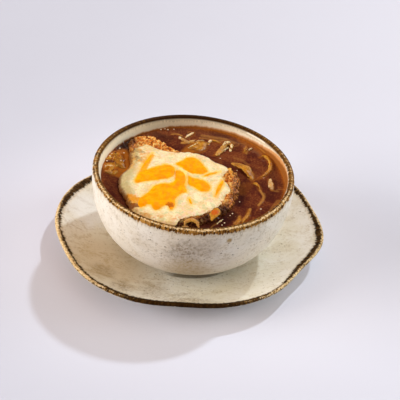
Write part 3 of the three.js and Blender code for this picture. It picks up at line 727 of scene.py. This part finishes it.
def makeFlakes(under, strips, material):  # those shorter than "perched" lie on the strips, the others on the broth
    form, s = bmesh.new(), flakeSkin
    pale = form.verts.layers.float.new("pale")
    afloat = heightsOn(under, onionFlakes, soupLevel)
    perched = np.max([afloat] + [heightsOn(strip, onionFlakes, soupLevel) for strip in strips], axis=0)
    for (x, y, length, width, turn, share), low, high in zip(onionFlakes, afloat, perched):
        height = (high if length < s["perched"] else low) + s["above"]
        place = Matrix.Translation(at(x, y, height)) @ Matrix.Rotation(math.radians(turn), 4, "Z")
        place = place @ Matrix.Diagonal((length, width, s["thick"], 1))
        for vert in bmesh.ops.create_icosphere(form, subdivisions=5, radius=mm, matrix=place)["verts"]:
            vert[pale] = share
    form.normal_update()
    points = places(form)
    swell(form, grains(points, *s["bumps"]) * (1 - upness(form) * 0.6))
    store(form, edge=1 - upness(form) ** 2, wet=step(points[:, 2], soupLevel + s["wetDepth"], soupLevel))
    return newPiece("onion_flakes", form, material, "onion")


cookedOnion = onionMaterial()
onionStrips = [makeOnion(node, cookedOnion) for node in onionNodes]
makeFlakes(soup, onionStrips, cookedOnion)
print("onions done")


toastSkin = {
    "voxel": 0.46, "relax": 1, "crumb": 1.1, "pits": 0.8, "cell": 2.3, "cellDepth": 0.5, "goldenDepth": 0.7,
    "raised": [([(-30, 38), (-18, 41), (-4, 41), (10, 40)], 10, 0.9), ([(21, 15), (27, 10), (31, 3)], 7, 0.5)],
    "wetThreads": [([(32, 4), (32, -5), (33, -14), (30, -24)], 7, 0.95), ([(14, -46), (22, -38), (27, -30)], 6, 0.8),
                   ([(-48, 40), (-46, 34), (-45, 28)], 4, 0.8)],
    "golden": [([(22, 13), (27, 9), (29, 5)], 4, 0.9)], "grown": 0.5, "soaked": (1.8, 0.4),
    "dim": [([(-4, -58), (8, -54), (18, -46), (24, -38)], 10, 1), ([(35.5, 2), (36, -8), (34, -20)], 2, 0.8),
            ([(30, -22), (33, -8)], 5, 0.4), ([(-49, 42), (-47, 34)], 4, 0.7)],
}


def crustMaterial():
    c = Recipe("toast_crust")
    soaked, threads, golden, dim, hollow = c.attributes("soaked", "threads", "golden", "dim", "hollow")
    crumb = c.noise(2.5, 5, 0.68, 0.6)
    strand = c.noise(1.1, 3, 0.6, 1.2, c.place(1, 0.6, 1, (4, 4, 2)))
    pores = c.cells(2)
    colour = c.tint(
        c.ramp(crumb, (0.37, (104, 40, 6)), (0.44, (200, 100, 20)), (0.52, (238, 152, 56)), (0.59, (255, 210, 124))),
        (c.fade(c.noise(6, 3, 0.6), 0.5, 0.68) * 0.35, (196, 104, 30)),
        (golden * c.fade(hollow + (crumb - 0.5) * 0.6, 0.4, 0.1) * 0.7, (240, 176, 66)),
        # painted shade in the hollows and pores of the crumb
        (c.fade(hollow + (crumb - 0.5), 0.3, 0.9) * (golden * 0.5 + 0.35), (96, 36, 6)),
        (c.fade(pores, 0.05, 0.3, 0.4, 0), (96, 40, 8)),
        (threads * 0.94, (82, 28, 12)),
        (threads * c.fade(strand, 0.5, 0.55) * 0.95, (250, 162, 84)),
        ((dim * (1.4 - crumb)).clamped(), (58, 22, 14)),
        (soaked * c.fade(crumb, 0.7, 0.4) * 0.85, (74, 28, 8)))
    c.set(Base_Color=colour, Roughness=crumb * 0.3 + 0.35 - soaked * 0.25 - threads * 0.2, Specular_IOR_Level=0.15)
    c.soft(0.1, (1, 0.4, 0.15), 0.001)
    c.bump(crumb * 0.7 + c.fade(pores, 0.1, 0.5) * 0.3, 0.5, 0.8)
    return c.material


def makeToast():
    s = toastSkin
    form = skinOver("bread", s["voxel"], s["relax"])
    points = places(form)
    up = upness(form)
    pits = np.abs(grain(points, 4.4, 8)) * -s["pits"]
    cells = np.array([noise.voronoi(Vector(p) / s["cell"])[0][0] for p in points])  # 0 in the hollows of the crumb
    hollow = step(cells + grain(points, 1.2, 5, 2) * 0.25, 0.62, 0.18)
    raised = strokes(points, s["raised"], 4) * up
    golden = strokes(points, s["golden"], 4)
    depth = s["cellDepth"] + golden * s["goldenDepth"]
    swell(form, grain(points, 1.8, 2, 4) * s["crumb"] + pits + raised + s["grown"] - hollow * depth)
    high, low = s["soaked"]
    store(form, soaked=step(points[:, 2], soupLevel + high, soupLevel + low), golden=golden, hollow=hollow,
          threads=strokes(points, s["wetThreads"], 3), dim=strokes(points, s["dim"], 4))
    return newPiece("toast", form, crustMaterial(), "crust", "bread")


makeToast()
print("toast done")


cheeseSkin = {
    "voxel": 0.48, "relax": 2, "ridgeHeight": 0.8, "halo": (3.6, 0.2), "hem": (3.2, 0.6), "thinEdge": 2.6,
    "hills": [(12, 1, 0.5), (4.2, 6, 0.36), (1.5, 3, 0.16)],
    "ridges": [([(-9.5, 0.9), (-6.4, -1), (-4.9, -5.5), (-3.9, -11), (-5, -18.2)], 1, 1),
               ([(-9, 1.9), (-5.3, -1.4), (-1, -3.7), (3.3, -3.3)], 1, 1)],
    "ambers": [  # broth soaked into the cheese, as (path, width, strength)
        ([(-43, -35), (-38, -38), (-33, -40.5)], 6.5, 1),
        ([(-46, 20), (-44, 12), (-45, 4), (-46, 0)], 5, 0.6), ([(-43, -43), (-36, -49), (-26, -53)], 3, 0.5),
        ([(-39, 24), (-36, 16), (-37, 8)], 5, 0.5),
        ([(14, -42), (20, -32), (24, -22)], 2.4, 0.4), ([(-20, -53), (-8, -52)], 3, 0.4)],
    "films": [([(-45, 20), (-44, 8), (-46, -6), (-48, -20), (-44, -30)], 8, 0.9)],  # thin cheese over the broth
    "darks": [([(-43, 27), (-41.5, 24)], 1.2, 0.6), ([(-44, 14), (-41, 16)], 1.6, 0.4),
              ([(-46, -39), (-42, -41.8), (-38, -43.4), (-34, -43.4)], 2.6, 1), ([(-48, -37), (-45, -41)], 4, 1)],
    "streaks": [([(-48, 12), (-42, 12), (-38, 9)], 4, 0.6), ([(-45, 21), (-40, 20), (-37, 18)], 3.5, 0.65),
                ([(-46, 3), (-43, 3)], 3, 0.5)],
    "fringe": ([(-44, 26), (-46, 6), (-51, -8), (-50, -24), (-43, -34)], 14),  # where the edge is thin and soaked
    "orange": [  # orange cheese that has run into the white, as (path, width, strength)
        ([(-33.5, 3), (-36, -8), (-37.6, -17)], 2.6, 0.95), ([(-36, -8), (-34, -12)], 3, 0.9),
        ([(-34, -37), (-38, -37)], 4, 0.6), ([(16.6, -26.7), (18.2, -15), (20.6, -6.3), (24.5, -1.5)], 2.6, 0.5),
        ([(-29.8, 16.3), (-33, 3)], 1.6, 0.7), ([(-8, -26), (-4, -14), (-4, -6)], 2.4, 0.5)],
}


def whiteCheeseMaterial():
    w = Recipe("melted_white_cheese")
    halo, hem, amber, film, dark, ridge, orange, streak, fringe = w.attributes(
        "halo", "hem", "amber", "film", "sunken", "ridge", "orange", "streak", "fringe")
    fine = w.noise(1.2, 4, 0.7)
    pinks = w.noise(3.8, 3, 0.6, 0.4, w.place(shift=(8, 3, 1)))
    greys = w.noise(4.6, 3, 0.6, 0.4, w.place(shift=(1, 9, 4)))

    def frayed(value, amount, low, high):  # a smooth step with an uneven edge
        return w.fade(value + (fine - 0.5) * amount, low, high)

    colour = w.tint(
        w.clouded(w.noise(7, 4, 0.6, 0.5), (250, 226, 180), (236, 198, 136)),
        (w.fade(fine, 0.52, 0.66) * 0.55, (214, 170, 104)),
        (w.fade(fine, 0.48, 0.36) * 0.3, (255, 244, 214)),
        (w.fade(pinks, 0.53, 0.62) * 0.65, (248, 202, 170)),
        (w.fade(greys, 0.53, 0.64) * 0.7, (208, 200, 148)),
        (frayed(halo, 0.8, 0.25, 1) * 0.5, (252, 206, 98)),
        (frayed(halo, 0.5, 0.72, 1.1) * 0.7, (255, 190, 52)),
        (ridge * 0.75, (255, 230, 140)),
        (w.specks(2.2, 0.32, 0.3, 6) * 0.6, (186, 136, 76)),
        ((film * (fine * 1.2 + 0.3)).clamped(), (190, 166, 112)),
        (frayed(streak, 1.2, 0.2, 0.8) * 0.7, (150, 112, 58)),
        (frayed(orange, 0.6, 0.2, 0.75), (255, 164, 16)),
        (frayed(hem, 0.9, 0.35, 0.95) * 0.8, (188, 122, 54)),
        (w.fade(amber + (fine - 0.5) * 1.4 + (pinks - 0.5) * 1.6, 0.2, 0.95) * 0.92, (226, 146, 16)),
        (frayed(dark, 0.8, 0.3, 0.8) * 0.9, (138, 66, 8)),
        (frayed(fringe, 1.2, 0.2, 1.1) * 0.9, (124, 70, 18)))
    w.set(Base_Color=colour, Roughness=fine * 0.2 + 0.26, Specular_IOR_Level=0.25)
    w.soft(0.25, (1, 0.65, 0.35), 0.0016)
    w.bump(fine * 0.6 + w.noise(3.6, 3) * 0.4, 0.6, 0.8)
    return w.material


def makeWhiteCheese():
    s = cheeseSkin
    form = skinOver("white_cheese", s["voxel"], s["relax"])
    points = places(form)
    up = upness(form)
    ridge = strokes(points, s["ridges"], 0.8) * up
    rise = up * grains(points, *s["hills"]) + ridge * s["ridgeHeight"]
    swell(form, (1 - up) * grain(points, 3, 4) * 0.8)
    lift(form, rise)
    form.normal_update()
    points = places(form)
    high, low = s["hem"]
    store(form, ridge=ridge, halo=step(gapTo(points, cheddarNodes), *s["halo"]),
          hem=step(points[:, 2], soupLevel + high, soupLevel + low),
          amber=strokes(points, s["ambers"], 3), orange=strokes(points, s["orange"], 2),
          streak=strokes(points, s["streaks"], 1.2), film=strokes(points, s["films"], 4),
          fringe=step(gapToOutline(form, points), s["thinEdge"], 0) * stroke(points, *s["fringe"], 6),
          sunken=strokes(points, s["darks"], 1))
    return newPiece("melted_white_cheese", form, whiteCheeseMaterial(), "white_cheese", "white_cheese")


cheddarSkin = {
    "voxel": 0.32, "relax": 2, "settle": 3, "roll": 2.4, "bulge": 0.75, "sunk": 0.45, "lip": 0.05, "wave": 0.22,
    "rim": (1.8, 0.1),
    # browned places as (x, y, radius, strength)
    "browned": [(-38, -18, 5, 0.5), (-36, -38, 9, 0.35), (-31, -44, 6, 0.3), (-13.6, -41, 4.5, 1.1),
                (-12.6, -46.4, 2.6, 0.9), (0, -11, 1.4, 0.6), (-26, -46, 5, 0.4)],
}


def orangeCheeseMaterial():
    c = Recipe("melted_orange_cheese")
    rim, brown = c.attributes("rim", "brown")
    clouds = c.noise(6, 3, 0.6, 0.4)
    fine = c.noise(1.3, 3, 0.6)
    colour = c.tint(
        c.clouded(clouds, (255, 167, 0), (252, 146, 0)),
        (c.fade(fine, 0.56, 0.72) * 0.3, (255, 180, 0)),
        (c.fade(rim + (fine - 0.5) * 0.8, 0.35, 1) * 0.6, (255, 182, 10)),
        (c.fade(rim + (clouds - 0.5) * 2, 0.8, 1.2) * 0.6, (240, 146, 14)),
        (c.fade(brown + (fine - 0.5) * 0.7, 0.1, 0.9) * 0.8, (224, 116, 6)),
        (c.fade(brown + (fine - 0.5) * 1.6, 0.7, 1.1) * 0.7, (160, 74, 12)))
    c.set(Base_Color=colour, Roughness=fine * 0.15 + 0.4, Specular_IOR_Level=0.05)
    c.soft(0.15, (1, 0.4, 0.02), 0.001)
    c.bump(fine * 0.4 + clouds * 0.6, 0.3, 0.6)
    return c.material


def makeCheddar(node, material, under):  # melted into the cheese under it, thin at its outline
    s = cheddarSkin
    form = skinOver(node, s["voxel"], s["relax"])
    points = places(form)
    inward = gapToOutline(form, points)
    low = points[:, 2].min()
    share = (points[:, 2] - low) / max(points[:, 2].max() - low, 0.01)
    ground = heightsOn(under, points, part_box(node)[0].z / mm)
    roll = step(inward, 0, s["roll"])
    lens = s["sunk"] + s["lip"] + s["bulge"] * roll + grain(points, 5, 2) * s["wave"] * roll
    for vert, height in zip(form.verts, ground - s["sunk"] + share * lens):
        vert.co.z = height * mm
    for _ in range(s["settle"]):
        bmesh.ops.smooth_vert(form, verts=form.verts, factor=0.5, use_axis_z=True)
    form.normal_update()
    browned = [step(np.hypot(points[:, 0] - x, points[:, 1] - y), radius, radius * 0.3) * strength
               for x, y, radius, strength in s["browned"]]
    store(form, rim=step(inward, *s["rim"]), brown=np.max(browned, axis=0))
    return newPiece("melted_" + node, form, material, "orange_cheese", node)


whiteCheese = makeWhiteCheese()
orangeCheese = orangeCheeseMaterial()
for node in cheddarNodes:
    makeCheddar(node, orangeCheese, whiteCheese)
print("cheese done")


tableLook = {
    "left": (198, 195, 207), "right": (216, 213, 225), "width": 260,
    # aroundTone is painted light on the table close around the saucer; frontTone makes the table darker towards the
    # front
    "around": (60, 210), "aroundTone": (225, 221, 232), "front": (-190, -80), "frontTone": (196, 192, 203),
}


def makeTable():
    s = tableLook
    form = bmesh.new()
    bmesh.ops.create_grid(form, x_segments=1, y_segments=1, size=1.6)
    table = linked("table", form)
    t = Recipe("pale_table")
    place = t.place()
    colour = t.tint(
        t.mix(t.fade(t.part(place, "X"), -s["width"], s["width"]), tone(*s["left"]), tone(*s["right"])),
        (t.fade(t.vector("LENGTH", place, output="Value"), *s["around"], 1, 0), s["aroundTone"]),
        (t.fade(t.part(place, "Y"), *s["front"], 0.3, 0), s["frontTone"]),
        (t.noise(160, 3, 0.5) * 0.3, (222, 219, 231)))
    t.set(Base_Color=colour, Roughness=0.6)
    table.data.materials.append(t.material)


suns = [  # name, direction to the light, spread in degrees, strength and colour, seen in reflections
    ("key", (34.9, 55.3, 68), 3, 1.35, (0.76, 0.9, 1), True),
    ("window_low", (-1, 0.05, 0.25), 30, 1.72, (0.86, 0.96, 1), False),
    ("window_front", (-1, -0.35, 0.35), 30, 2.1, (1, 1, 0.95), False),
    ("wall_right", (1, 0.3, 0.22), 35, 2, (0.72, 0.8, 0.86), False),
    ("fill_right", (1, -0.15, 0.7), 75, 0.9, (0.75, 1, 0.9), False),
    ("overhead", (0, 0, 1), 90, 0.75, (1, 0.6, 0.45), False),
    ("behind", (0, 0.7, 0.7), 70, 0.45, (1, 0.9, 0.75), False),
]


def makeSun(name, direction, spread, strength, colour, glossy):
    data = bpy.data.lights.new(name, "SUN")
    data.energy, data.angle, data.color = strength, math.radians(spread), colour
    lamp = bpy.data.objects.new(name, data)
    lamp.rotation_euler = Vector(direction).to_track_quat("Z", "Y").to_euler()
    lamp.visible_glossy = glossy
    bpy.context.collection.objects.link(lamp)


cameraFit = {  # degrees, metres from the rim's middle, and how far it looks to the side and down
    "rise": 34.94, "roll": 5.49, "distance": 0.7684, "aside": 0.008048, "down": 0.028043,
}


def makeCamera():
    s = cameraFit
    data = bpy.data.cameras.new("camera")
    data.lens, data.sensor_width, data.clip_end = 100, 36, 20
    camera = bpy.data.objects.new("camera", data)
    rise, roll = math.radians(s["rise"]), math.radians(s["roll"])
    right = Vector((1, 0, 0))
    up = Vector((0, math.sin(rise), math.cos(rise)))
    back = Vector((0, -math.cos(rise), math.sin(rise)))
    ahead = (-back + right * s["aside"] - up * s["down"]).normalized()
    across = right * math.cos(roll) + up * math.sin(roll)
    across = (across - ahead * across.dot(ahead)).normalized()
    turn = Matrix((across, across.cross(ahead), -ahead)).transposed()
    camera.matrix_world = Matrix.Translation(at(0, 0, rimHeight) + back * s["distance"]) @ turn.to_4x4()
    bpy.context.collection.objects.link(camera)
    bpy.context.scene.camera = camera


makeTable()
for sun in suns:
    makeSun(*sun)
makeCamera()
world = bpy.context.scene.world or bpy.data.worlds.new("studio")
bpy.context.scene.world = world
world.use_nodes = True
air = world.node_tree.nodes["Background"].inputs
air["Color"].default_value = (1, 0.93, 0.88, 1)
air["Strength"].default_value = 0.1
bpy.context.scene.view_settings.view_transform = "Standard"
print("stage done")
